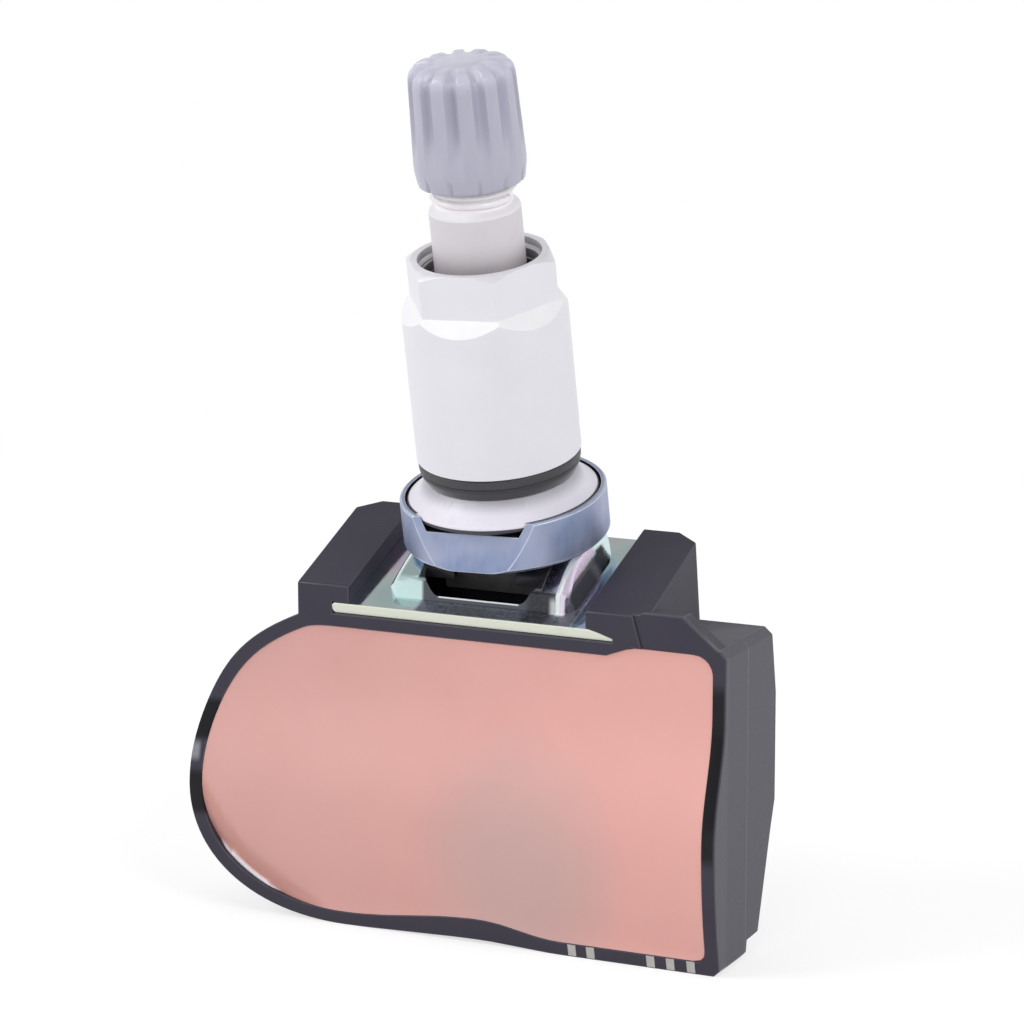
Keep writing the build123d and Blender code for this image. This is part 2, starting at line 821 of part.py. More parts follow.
# Quartz crystal, antenna hoop and capacitors
crystal = block(
    crystal_x - crystal_long / 2,
    crystal_x + crystal_long / 2,
    board_y - crystal_thick,
    board_y,
    crystal_z - crystal_wide / 2,
    crystal_z + crystal_wide / 2,
)
hoop_half = antenna_span / 2
hoop = block(
    antenna_x - hoop_half,
    antenna_x + hoop_half,
    board_y - antenna_height,
    board_y,
    antenna_z - antenna_wide / 2,
    antenna_z + antenna_wide / 2,
)
antenna = hoop - block(
    antenna_x - hoop_half + antenna_thick,
    antenna_x + hoop_half - antenna_thick,
    board_y - antenna_height + antenna_thick,
    board_y + 1,
    antenna_z - antenna_wide,
    antenna_z + antenna_wide,
)
capacitors = [
    block(
        capacitor_row_x + capacitor_pitch * n - capacitor_long / 2,
        capacitor_row_x + capacitor_pitch * n + capacitor_long / 2,
        board_y - capacitor_thick,
        board_y,
        capacitor_row_z - capacitor_wide / 2,
        capacitor_row_z + capacitor_wide / 2,
    )
    for n in range(3)
]

# Potting: fills the cavity round the electronics and shows at the front
in_front = make_face(
    swelling_front(potting_sink)
    + [
        Polyline(
            (base_front_y + potting_sink, base_z),
            (bulge_y - 4, base_z),
            (bulge_y - 4, potting_brow_z + 1),
            (front_y + potting_sink, potting_brow_z + 1),
            (front_y + potting_sink, front_straight_z),
        )
    ]
)
fill = hollow - along_x(in_front, -reach, reach)
fill -= circuit_board
fill -= along_y(cell_at * Circle(cell_r + running_fit), cell_front - 0.1, cell_back)
fill -= plus_tab
fill -= minus_tab
fill -= chip
fill -= along_y(Pos(chip_x, chip_z) * Circle(port_seal_r + running_fit), board_back, back_y)
fill -= core_bar
fill -= winding
fill -= crystal
fill -= antenna
fill -= capacitors
potting = fill

pieces = {
    "dust_cap": dust_cap,
    "cap_gasket": cap_gasket,
    "sleeve_nut": sleeve_nut,
    "nut_washer": nut_washer,
    "rubber_seal": rubber_seal,
    "valve_stem": valve_stem,
    "core_barrel": core_barrel,
    "core_ring": core_ring,
    "core_pin": core_pin,
    "core_spring": core_spring,
    "poppet_seal": poppet_seal,
    "saddle_ring": saddle_ring,
    "rocker_shoe": rocker_shoe,
    "bracket": bracket,
    "housing": housing,
    "potting": potting,
    "circuit_board": circuit_board,
    "cell_can": cell_can,
    "cell_gasket": cell_gasket_ring,
    "cell_lid": cell_lid,
    "plus_tab": plus_tab,
    "minus_tab": minus_tab,
    "sensor_chip": sensor_chip,
    "port_seal": port_seal,
    "coil_core": core_bar,
    "coil_winding": coil_winding,
    "crystal": crystal,
    "antenna": antenna,
}
for n, capacitor in enumerate(capacitors):
    pieces[f"capacitor_{n + 1}"] = capacitor
for name, piece in pieces.items():
    export_step(piece, f"parts/{name}.step")
    print(name, round(piece.volume, 2), len(piece.solids()))
axis_y = -swivel_s * sin(radians(valve_lean))
axis_z = swivel_s * cos(radians(valve_lean))
print("swivel axis", round(axis_y, 4), round(axis_z, 4))
print("swivel on the sheet", round(swivel_v, 3), round(swivel_w, 3), "slot back", round(slot_back, 3))
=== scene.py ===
"""Clamp-in tyre pressure sensor, dressed for a studio picture. Metres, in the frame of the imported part."""

import json
from math import atan2, cos, exp, hypot, pi, radians, sin

import bmesh
import bpy
from mathutils import Matrix, Vector
from mathutils.bvhtree import BVHTree


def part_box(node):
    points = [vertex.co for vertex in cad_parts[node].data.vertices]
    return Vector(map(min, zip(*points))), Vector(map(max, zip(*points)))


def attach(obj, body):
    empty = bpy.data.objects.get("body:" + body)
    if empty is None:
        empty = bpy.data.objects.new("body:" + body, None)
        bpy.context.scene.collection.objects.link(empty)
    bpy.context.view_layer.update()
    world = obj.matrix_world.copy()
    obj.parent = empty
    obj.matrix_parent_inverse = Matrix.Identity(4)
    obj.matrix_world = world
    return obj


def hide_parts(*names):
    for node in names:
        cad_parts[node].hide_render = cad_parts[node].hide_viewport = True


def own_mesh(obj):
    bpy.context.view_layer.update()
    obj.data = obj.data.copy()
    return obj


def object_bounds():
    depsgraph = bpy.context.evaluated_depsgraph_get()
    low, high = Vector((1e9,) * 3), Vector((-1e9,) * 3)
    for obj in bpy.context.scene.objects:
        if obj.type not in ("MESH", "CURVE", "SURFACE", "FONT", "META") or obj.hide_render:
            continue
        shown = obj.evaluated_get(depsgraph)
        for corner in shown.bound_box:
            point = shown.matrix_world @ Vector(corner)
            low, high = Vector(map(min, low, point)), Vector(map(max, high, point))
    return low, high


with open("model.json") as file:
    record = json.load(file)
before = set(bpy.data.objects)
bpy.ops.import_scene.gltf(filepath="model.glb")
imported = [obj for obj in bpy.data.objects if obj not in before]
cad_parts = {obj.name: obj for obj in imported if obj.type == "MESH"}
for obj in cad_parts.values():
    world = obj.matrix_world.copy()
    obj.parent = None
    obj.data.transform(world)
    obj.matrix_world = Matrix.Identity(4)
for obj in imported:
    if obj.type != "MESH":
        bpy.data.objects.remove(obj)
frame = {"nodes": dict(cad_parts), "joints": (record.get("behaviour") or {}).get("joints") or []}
cad_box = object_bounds()


# Valve stem
# Turned from aluminium bar: threaded shank, plain stem, inflation thread and a dished flange.
# The flange sits in the saddle ring, and the neck below it goes through the bracket's slot.
mm = 0.001
nut_joint = next(j for j in frame["joints"] if j["name"] == "nut_turn")
valve_axis = Vector(nut_joint["axis"])
valve_lean = atan2(-valve_axis.y, valve_axis.z)
on_valve = Matrix.Rotation(valve_lean, 4, "X")
off_valve = on_valve.inverted()
join_gap = 0.001 * mm
flat_angle = radians(1)
smooth_angle = radians(32)
round_angle = radians(28)
round_steps = 2
gloss_play = 0.08


class Socket:
    """An output of a material's nodes. Maths on it adds Math nodes to the same tree."""

    def __init__(self, tree, output=None):
        self.tree = tree
        self.output = output

    def node(self, kind, settings=(), inputs=(), output=0):
        made = self.tree.nodes.new(kind)
        for name, value in dict(settings).items():
            if name == "stops":
                stops = made.color_ramp.elements
                while len(stops) < len(value):
                    stops.new(1)
                for stop, (place, colour) in zip(stops, value):
                    stop.position = place
                    stop.color = (*colour, 1)
            else:
                setattr(made, name, value)
        for name, value in dict(inputs).items():
            if isinstance(value, Socket):
                self.tree.links.new(value.output, made.inputs[name])
            else:
                made.inputs[name].default_value = value
        return Socket(self.tree, made.outputs[output])

    def maths(self, operation, first, second):
        return self.node("ShaderNodeMath", {"operation": operation}, {0: first, 1: second})

    def __add__(self, other):
        return self.maths("ADD", self, other)

    __radd__ = __add__

    def __sub__(self, other):
        return self.maths("SUBTRACT", self, other)

    def __rsub__(self, other):
        return self.maths("SUBTRACT", other, self)

    def __mul__(self, other):
        return self.maths("MULTIPLY", self, other)

    __rmul__ = __mul__

    def __truediv__(self, other):
        return self.maths("DIVIDE", self, other)


def new_finish(name, constants=()):
    """A material with these constant values, and the start of its nodes."""
    material = bpy.data.materials.new(name)
    material.use_nodes = True
    shader = material.node_tree.nodes["Principled BSDF"]
    for socket, value in dict(constants).items():
        shader.inputs[socket].default_value = value
    return material, Socket(material.node_tree)


def feed(material, varying):
    """Links what varies over the surface to the material's shader."""
    shader = material.node_tree.nodes["Principled BSDF"]
    for socket, value in varying.items():
        material.node_tree.links.new(value.output, shader.inputs[socket])


def place_of(start, turn=(0, 0, 0), scale=(1, 1, 1)):
    """Object coordinates, turned and scaled."""
    coordinates = start.node("ShaderNodeTexCoord", output="Object")
    changed = {"Vector": coordinates, "Rotation": turn, "Scale": scale}
    return start.node("ShaderNodeMapping", {}, changed)


def place_on_valve(start, squeeze=1):
    """Object coordinates with Z turned to the valve's axis, squeezed that many times along Z."""
    return place_of(start, turn=(-valve_lean, 0, 0), scale=(1, 1, squeeze))


def part_of(place, axis):
    """One coordinate of a place."""
    return place.node("ShaderNodeSeparateXYZ", {}, {0: place}, output=axis)


def grain(place, size, detail=3.0, roughness=0.55):
    """Noise from 0 to 1 whose spots are about that many millimetres across."""
    return place.node(
        "ShaderNodeTexNoise",
        {"noise_dimensions": "3D"},
        {"Vector": place, "Scale": 1 / (size * mm), "Detail": detail, "Roughness": roughness},
    )


def between(factor, first, second):
    """A colour mixed from two, by a factor."""
    return factor.node(
        "ShaderNodeMix", {"data_type": "RGBA"}, {0: factor, 6: first, 7: second}, output=2
    )


def bumped(height, depth, strength):
    """A normal from a height, whose full range is that many millimetres deep."""
    return height.node(
        "ShaderNodeBump", {}, {"Height": height, "Distance": depth * mm, "Strength": strength}
    )


def spread(factor, low, high, least=0.3, most=0.7):
    """A number that goes from low to high as a factor goes over most of the range of a grain."""
    limits = {"From Min": least, "From Max": most, "To Min": low, "To Max": high}
    return factor.node("ShaderNodeMapRange", {}, {"Value": factor, **limits})


def smooth_step(value, low, high, first=0.0, last=1.0):
    """Goes smoothly from the first number to the last as a value goes from low to high."""
    smooth = {"interpolation_type": "SMOOTHSTEP"}
    limits = {"From Min": low, "From Max": high, "To Min": first, "To Max": last}
    return value.node("ShaderNodeMapRange", smooth, {"Value": value, **limits})


def along_valve(start, low, high, axis="Z"):
    """Goes from 0 to 1 between two places along the valve, or across it.

    The places are in millimetres from the rim seat.
    """
    return smooth_step(part_of(place_on_valve(start), axis), low * mm, high * mm)


def off_axis(start, low, high):
    """Goes from 0 to 1 between two distances from the valve's axis, in millimetres."""
    level = {0: place_on_valve(start), 1: (1, 1, 0)}
    flat = start.node("ShaderNodeVectorMath", {"operation": "MULTIPLY"}, level)
    distance = flat.node("ShaderNodeVectorMath", {"operation": "LENGTH"}, {0: flat}, output="Value")
    return smooth_step(distance, low * mm, high * mm)


def mottled(name, dark, light, size, rough, constants=()):
    """A material whose colour and gloss vary in small spots."""
    material, start = new_finish(name, constants)
    spots = grain(place_of(start), size)
    feed(
        material,
        {
            "Base Color": between(spots, (*dark, 1), (*light, 1)),
            "Roughness": spread(spots, rough - gloss_play, rough + gloss_play),
        },
    )
    return material


def dressed(name, mesh, body, slot, materials, *nodes):
    """Makes a piece of a mesh: it rides on a body and stands for the nodes."""
    piece = bpy.data.objects.new(name, mesh)
    bpy.context.scene.collection.objects.link(piece)
    for n, material in enumerate(materials):
        if n < len(mesh.materials):
            mesh.materials[n] = material
        else:
            mesh.materials.append(material)
    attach(piece, body)
    if nodes:
        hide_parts(*nodes)
    return piece


def whole(node):
    """A copy of a solid's mesh with its triangles joined."""
    shape = bmesh.new()
    shape.from_mesh(frame["nodes"][node].data)
    bmesh.ops.remove_doubles(shape, verts=shape.verts, dist=join_gap)
    bmesh.ops.dissolve_limit(shape, angle_limit=flat_angle, verts=shape.verts, edges=shape.edges)
    return shape


def mesh_of(name, shape, crease=None):
    """A mesh of a shape, made smooth where it bends less than the crease. The shape goes."""
    mesh = bpy.data.meshes.new(name)
    shape.to_mesh(mesh)
    shape.free()
    if crease is not None:
        mesh.shade_smooth()
        mesh.set_sharp_from_angle(angle=crease)
    return mesh


def plain_mesh(name, working):
    """The final mesh of a working object, without its modifiers. The object goes."""
    seen = working.evaluated_get(bpy.context.evaluated_depsgraph_get())
    mesh = bpy.data.meshes.new_from_object(seen)
    mesh.name = name
    bpy.data.objects.remove(working)
    return mesh


def softened(node, shape, edge, least=round_angle, slots=1, edge_slot=-1):
    """A mesh of the shape with its outer edges rounded by that many millimetres."""
    weight = shape.edges.layers.float.new("bevel_weight_edge")
    shape.normal_update()
    for face in shape.faces:
        face.smooth = True
    for side in shape.edges:
        bend = side.calc_face_angle() if side.is_manifold else 0
        if side.is_convex and bend > least:
            side[weight] = 1.0
        elif bend > smooth_angle:
            side.smooth = False
    mesh = mesh_of(node, shape)
    for _ in range(max(slots, edge_slot + 1)):
        mesh.materials.append(None)
    working = bpy.data.objects.new(node + ".working", mesh)
    bpy.context.scene.collection.objects.link(working)
    rounding = working.modifiers.new("round", "BEVEL")
    rounding.width = edge * mm
    rounding.segments = round_steps
    rounding.limit_method = "WEIGHT"
    rounding.use_clamp_overlap = False
    rounding.material = edge_slot
    flats = working.modifiers.new("flats", "WEIGHTED_NORMAL")
    flats.keep_sharp = True
    return plain_mesh(node + ".shape", working)


thread_highlight_white = (0.90, 0.87, 0.90, 1)
mouth_shadow_grey = (0.36, 0.33, 0.34, 1)
seal_shadow_grey = (0.20, 0.19, 0.22, 1)
gap_shadow_black = (0.020, 0.018, 0.018, 1)
notch_shadow_black = (0.030, 0.031, 0.042, 1)
stem_finish, start = new_finish("stem_aluminium", {"Metallic": 0.05, "IOR": 1.6})
turning = grain(place_on_valve(start, 14), 1.6, detail=5)
cloud = grain(place_of(start), 3.5)
# Painted shade: the stem is painted a darker, warmer grey than the flange, though both are the same
# aluminium.
pale = between(cloud, (0.80, 0.775, 0.865, 1), (0.87, 0.845, 0.935, 1))
stem_shade_tone = between(cloud, (0.66, 0.62, 0.66, 1), (0.73, 0.69, 0.73, 1))
flange_to_stem = along_valve(start, -2.0, 10.0)
# Painted highlight: the inflation thread is painted whiter than the stem.
on_thread = along_valve(start, 23.2, 23.5)
plain_metal = between(on_thread, between(flange_to_stem, pale, stem_shade_tone), thread_highlight_white)
# Painted shadow: a grey ring on the flange round the foot of the seal.
seal_shadow = off_axis(start, 6.4, 6.6) * (1 - off_axis(start, 6.75, 7.7)) * 0.6
# Painted shade: a black line on the flange's edge in the gap to the saddle ring, except at the front.
flange_front = along_valve(start, -6.9, -6.6, "Y")
gap_shadow_line = off_axis(start, 8.50, 8.58) * along_valve(start, -4.03, -3.98) * flange_front
# Painted shadow: the outer flange below the notch floor's level is painted near black.
under_rim = off_axis(start, 6.9, 7.1) * (1 - along_valve(start, -4.20, -4.12))
# Painted shade: the stem is painted darker grey low down, near the nut's mouth.
mouth_shadow = (1 - along_valve(start, 17.6, 21.0)) * along_valve(start, 10.0, 12.0) * 0.55
shaded_metal = between(seal_shadow, between(mouth_shadow, plain_metal, mouth_shadow_grey), seal_shadow_grey)
feed(
    stem_finish,
    {
        "Base Color": between(under_rim, between(gap_shadow_line, shaded_metal, gap_shadow_black), notch_shadow_black),
        "Roughness": spread(turning, 0.40, 0.52) - on_thread * 0.14,
        "Normal": bumped(turning, 0.010, 0.22),
    },
)
# Painted highlight: the collar's chamfer is painted a brighter aluminium.
collar_highlight = mottled("collar_highlight_aluminium", (0.78, 0.76, 0.79), (0.86, 0.84, 0.87), 1.5, 0.52)
thread_low = 23.75 * mm
thread_crest = 3.85 * mm
thread_root = 3.47 * mm
thread_runout = 0.4 * mm
crest_slack = 0.02 * mm
collar_low, collar_high = 22.8 * mm, 23.5 * mm
collar_slope = 0.3
stem_edge = 0.07
stem_shape = whole("valve_stem")
for vertex in stem_shape.verts:
    point = off_valve @ vertex.co
    off_centre = hypot(point.x, point.y)
    if point.z > thread_low - thread_runout and abs(off_centre - thread_crest) < crest_slack:
        narrowing = thread_root / off_centre
        vertex.co = on_valve @ Vector((point.x * narrowing, point.y * narrowing, point.z))
stem_shape.normal_update()
for face in stem_shape.faces:
    heights = [(off_valve @ v.co).z for v in face.verts]
    facing = (off_valve.to_3x3() @ face.normal).z
    if facing > collar_slope and min(heights) > collar_low and max(heights) < collar_high:
        face.material_index = 1
dressed(
    "stem",
    softened("valve_stem", stem_shape, stem_edge, slots=2),
    "valve",
    "aluminium",
    [stem_finish, collar_highlight],
    "valve_stem",
)


# Inflation thread
# A rolled ridge that winds round the end of the stem, of the same aluminium.
# It is one wire on a spiral, of square section set on edge and half sunk in the stem.
def input_of(tree, name, value):
    """Adds a size to a geometry tree, and gives the identifier that sets it."""
    socket = tree.interface.new_socket(name, in_out="INPUT", socket_type="NodeSocketFloat")
    socket.default_value = value
    return socket.identifier


def add_node(tree, kind, settings, inputs):
    """A node of a geometry tree, with its settings first and then its values or links."""
    made = tree.nodes.new(kind)
    for name, value in settings.items():
        setattr(made, name, value)
    for name, value in inputs.items():
        if isinstance(value, bpy.types.NodeSocket):
            tree.links.new(value, made.inputs[name])
        else:
            made.inputs[name].default_value = value
    return made


thread_lead_in = 0.2 * mm
points_a_turn = 64
wire_corners = 4
ridge_sizes = {
    "Radius": thread_root,
    "Pitch": 0.794 * mm,
    "Turns": 8.7,
    "Low": thread_low + thread_lead_in,
    "Depth": thread_crest - thread_root,
}
ridge_tree = bpy.data.node_groups.new("thread_ridge", "GeometryNodeTree")
ridge_inputs = {name: input_of(ridge_tree, name, value) for name, value in ridge_sizes.items()}
finish_socket = ridge_tree.interface.new_socket(
    "Finish", in_out="INPUT", socket_type="NodeSocketMaterial"
)
ridge_tree.interface.new_socket("Mesh", in_out="OUTPUT", socket_type="NodeSocketGeometry")
given = ridge_tree.nodes.new("NodeGroupInput").outputs
rise = add_node(
    ridge_tree, "ShaderNodeMath", {"operation": "MULTIPLY"}, {0: given["Pitch"], 1: given["Turns"]}
)
spiral = add_node(
    ridge_tree,
    "GeometryNodeCurveSpiral",
    {},
    {
        "Resolution": points_a_turn,
        "Rotations": given["Turns"],
        "Start Radius": given["Radius"],
        "End Radius": given["Radius"],
        "Height": rise.outputs[0],
    },
)
upright = add_node(
    ridge_tree, "GeometryNodeSetCurveNormal", {"mode": "Z_UP"}, {"Curve": spiral.outputs[0]}
)
section = add_node(
    ridge_tree,
    "GeometryNodeCurvePrimitiveCircle",
    {"mode": "RADIUS"},
    {"Resolution": wire_corners, "Radius": given["Depth"]},
)
ridge = add_node(
    ridge_tree,
    "GeometryNodeCurveToMesh",
    {},
    {"Curve": upright.outputs[0], "Profile Curve": section.outputs[0], "Fill Caps": True},
)
lift = add_node(ridge_tree, "ShaderNodeCombineXYZ", {}, {"Z": given["Low"]})
placed = add_node(
    ridge_tree,
    "GeometryNodeTransform",
    {},
    {"Geometry": ridge.outputs[0], "Translation": lift.outputs[0]},
)
real = add_node(ridge_tree, "GeometryNodeRealizeInstances", {}, {"Geometry": placed.outputs[0]})
painted = add_node(
    ridge_tree,
    "GeometryNodeSetMaterial",
    {},
    {"Geometry": real.outputs[0], "Material": given["Finish"]},
)
result = ridge_tree.nodes.new("NodeGroupOutput")
ridge_tree.links.new(painted.outputs[0], result.inputs[0])


def thread(name, finish, sizes=()):
    """The ridge of a thread on the valve's axis, as a plain mesh."""
    working = bpy.data.objects.new(name + ".working", bpy.data.meshes.new(name))
    bpy.context.scene.collection.objects.link(working)
    winding = working.modifiers.new("winding", "NODES")
    winding.node_group = ridge_tree
    for socket, value in dict(sizes).items():
        winding[ridge_inputs[socket]] = value
    winding[finish_socket.identifier] = finish
    mesh = plain_mesh(name + ".shape", working)
    mesh.transform(on_valve)
    return mesh


stem_ridge = thread("inflation_thread", stem_finish)
dressed("inflation_thread", stem_ridge, "valve", "aluminium", [stem_finish])


# Valve core
# Brass barrel screwed into the stem, with a rubber ring, and a brass pin with its poppet.
# A spring of coiled steel wire holds the pin shut. In the valve it shortens as the pin is pushed in; its
# mesh here keeps one length.
def finished(material, *nodes):
    """Gives solids that show as they are a material."""
    for node in nodes:
        materials = frame["nodes"][node].data.materials
        materials.clear()
        materials.append(material)


metal = {"Metallic": 1.0}
rubber_sheen = {"Specular IOR Level": 0.4, "Sheen Weight": 0.45, "Sheen Roughness": 0.4}
brass = mottled("turned_brass", (0.58, 0.40, 0.16), (0.78, 0.60, 0.30), 0.5, 0.28, metal)
rubber = mottled(
    "black_rubber", (0.030, 0.029, 0.034), (0.048, 0.046, 0.053), 0.35, 0.62, rubber_sheen
)
spring_steel = mottled("spring_steel", (0.45, 0.45, 0.46), (0.62, 0.62, 0.63), 0.4, 0.25, metal)
finished(brass, "core_barrel", "core_pin")
finished(rubber, "core_ring", "poppet_seal")
coil_crease = radians(70)
coil_shape = whole("core_spring")
coil_mesh = mesh_of("coil", coil_shape, coil_crease)
coil = dressed("spring", coil_mesh, "valve", "cell_steel", [spring_steel], "core_spring")
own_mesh(coil)


# Saddle ring and rocker shoe
# Turned steel with blue passivated zinc. The ring carries the stem's flange.
# Its front has a sloping facet, and it rocks on the bracket's arch.
# The shoe on the stem's neck holds it from below.
streak_blue = (0.38, 0.48, 0.60, 1)
zinc, start = new_finish("blue_zinc", {"Metallic": 0.92, "Specular IOR Level": 0.5})
streaks = grain(place_on_valve(start, 0.12), 0.35, detail=4)
patches = grain(place_of(start), 4.5, detail=2)
cool = between(spread(patches, 0.0, 1.0), (0.24, 0.295, 0.48, 1), (0.44, 0.45, 0.60, 1))
feed(
    zinc,
    {
        "Base Color": between(spread(streaks, 0.0, 0.35), cool, streak_blue),
        "Roughness": spread(streaks, 0.40, 0.54),
        "Normal": bumped(streaks, 0.008, 0.35),
    },
)
worn_edge = mottled("worn_edge", (0.38, 0.44, 0.58), (0.72, 0.75, 0.82), 0.8, 0.42, {"Metallic": 0.5})
# Painted shade: the ring's inner wall round the flange is painted near black.
recess_shade = mottled(
    "recess_shade_black", (0.020, 0.020, 0.024), (0.045, 0.045, 0.052), 0.5, 0.40, {"Metallic": 0.6}
)
shoe_grey = mottled(
    "phosphated_shoe", (0.10, 0.095, 0.09), (0.17, 0.16, 0.155), 0.9, 0.45, {"Metallic": 0.3}
)
recess_reach = 8.95 * mm
saddle_edge = 0.06
saddle_least = radians(12)
saddle_shape = whole("saddle_ring")
for face in saddle_shape.faces:
    if all(hypot(*(off_valve @ v.co).xy) < recess_reach for v in face.verts):
        face.material_index = 2
dressed(
    "saddle",
    softened("saddle_ring", saddle_shape, saddle_edge, least=saddle_least, slots=3, edge_slot=1),
    "valve",
    "blue_zinc",
    [zinc, worn_edge, recess_shade],
    "saddle_ring",
)
finished(shoe_grey, "rocker_shoe")


# Bracket
# Pressed from one millimetre sheet steel and bright zinc plated, with a faint rainbow tint on the plating.
# Its ends are held under the housing's blocks, and its arch and slot carry the valve.
def window_of(value, low, high, soft):
    """1 between two values in millimetres and 0 outside them, with soft ends."""
    rising = smooth_step(value, (low - soft) * mm, low * mm)
    return rising * smooth_step(value, high * mm, (high + soft) * mm, 1.0, 0.0)


bracket_lean = radians(20.5)
front_y, front_z = -6.30 * mm, -14.10 * mm
sheet_start = front_y * cos(bracket_lean) + front_z * sin(bracket_lean)
shade_black = (0.025, 0.025, 0.031, 1)
lavender = (0.82, 0.70, 0.88, 1)
wall_grey = (0.085, 0.090, 0.110, 1)
reflected_cyan = (0.60, 0.80, 0.79, 1)
arch_grey = (0.13, 0.13, 0.16, 1)
zinc_highlight = (0.88, 0.92, 0.93, 1)
strip_cream = (0.80, 0.84, 0.72, 1)
rainbow_stops = [
    (0.30, (0.62, 0.78, 0.78)),
    (0.44, (0.72, 0.84, 0.84)),
    (0.52, (0.80, 0.80, 0.82)),
    (0.62, (0.82, 0.70, 0.84)),
    (0.72, (0.66, 0.68, 0.84)),
]
bright_zinc, start = new_finish("bright_zinc")
on_sheet = place_of(start, turn=(-bracket_lean, 0, 0))
across = part_of(on_sheet, "X")
inward = part_of(on_sheet, "Y") - sheet_start


def patch(sides, depths):
    """1 on a patch of the sheet: its two ends across the sheet and inward, each with its softness."""
    return window_of(across, *sides) * window_of(inward, *depths)


fold_depths = (2.0, 9.5, 0.6)
# Painted shade: the front of the sheet and the arch's front wall are painted dark mottled grey in place of
# the plating's tint.
greyed = patch((-5.3, 9.5, 0.5), (0.3, 2.75, 0.25))
# Painted reflection: a dark speckled patch on the arch right of the slot.
speckled_reflection = patch((5.2, 6.8, 0.8), (0.5, 6.5, 0.8))
# Painted shade: the tabs under the saddle are painted near black.
ledge = patch((-6.0, 6.0, 0.2), (3.2, 6.0, 0.5))
# Painted highlights: the slot's front edge, a line along the arch's right side and its front corner are
# painted near white.
lip = patch((-3.8, 3.8, 0.3), (2.135, 2.5, 0.015))
bead = patch((7.65, 7.95, 0.15), fold_depths)
# Painted reflection: a lavender band on the arch's right wall.
lavender_reflection = patch((8.10, 8.40, 0.15), fold_depths)
shaded = patch((8.70, 9.3, 0.25), (1.0, 7.5, 2.0))
corner = patch((7.3, 8.0, 0.5), (1.9, 2.3, 0.3)) * 0.6
# Painted reflection: pale cyan on the arch's left face.
left_face = patch((-8.0, -5.9, 0.4), (1.9, 2.9, 0.4))
front_wall = window_of(inward, 1.95, 2.75, 0.05)
edge_strip = window_of(inward, -1.0, 0.06, 0.10)
flecks = grain(place_of(start), 0.32, detail=5, roughness=0.7)
rolling = grain(place_of(start, scale=(0.25, 1, 1)), 0.5, detail=4)
film = grain(place_of(start), 6.0, detail=1.5)
rainbow = film.node("ShaderNodeValToRGB", {"stops": rainbow_stops}, {"Fac": film})
painted_shading = between(spread(flecks, 0.0, 1.0), (0.09, 0.095, 0.12, 1), (0.24, 0.25, 0.29, 1))
plated = between(greyed, rainbow, between(front_wall, painted_shading, wall_grey))
with_cyan_reflection = between(left_face, plated, reflected_cyan)
formed = between(shaded, between(lavender_reflection, with_cyan_reflection, lavender), arch_grey)
painted_dark = ledge.maths("MAXIMUM", speckled_reflection * spread(flecks, 1.0, 0.45), ledge)
shining = bead.maths("MAXIMUM", bead, lip.maths("MAXIMUM", lip, corner))
highlighted = between(shining, between(painted_dark, formed, shade_black), zinc_highlight)
dull = edge_strip * 0.75 + lavender_reflection * 0.45 + shining * 0.7 + ledge * 0.5
dull = dull + left_face * 0.6 + greyed * 0.55 + shaded * 0.5
rough = edge_strip * 0.35 + (speckled_reflection + lavender_reflection + greyed) * 0.15 + ledge * 0.4
feed(
    bright_zinc,
    {
        "Base Color": between(edge_strip, highlighted, strip_cream),
        "Metallic": 1 - dull.maths("MINIMUM", dull, 1.0),
        "Roughness": spread(rolling, 0.06, 0.16) + rough,
        "Normal": bumped(rolling, 0.004, 0.3),
    },
)
bracket_edge = 0.08
bracket_least = radians(75)
dressed(
    "bracket_plate",
    softened("bracket", whole("bracket"), bracket_edge, least=bracket_least),
    "sensor",
    "bright_zinc",
    [bright_zinc],
    "bracket",
)


# Housing
# Moulded in charcoal plastic with a fine grain. Its blocks hold the bracket, and its front is open.
# The rim round the opening is smoother than the sides.
case_low, case_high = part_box("housing")
parting_y = -1.0 * mm
line_core, line_reach = 0.03 * mm, 0.10 * mm
rim_front, rim_back = -6.1 * mm, -5.2 * mm
lit_side_grey = (0.092, 0.087, 0.110, 1)
line_grey = (0.15, 0.145, 0.17, 1)
reflection_black = (0.004, 0.004, 0.006, 1)
glint_grey = (0.26, 0.26, 0.29, 1)


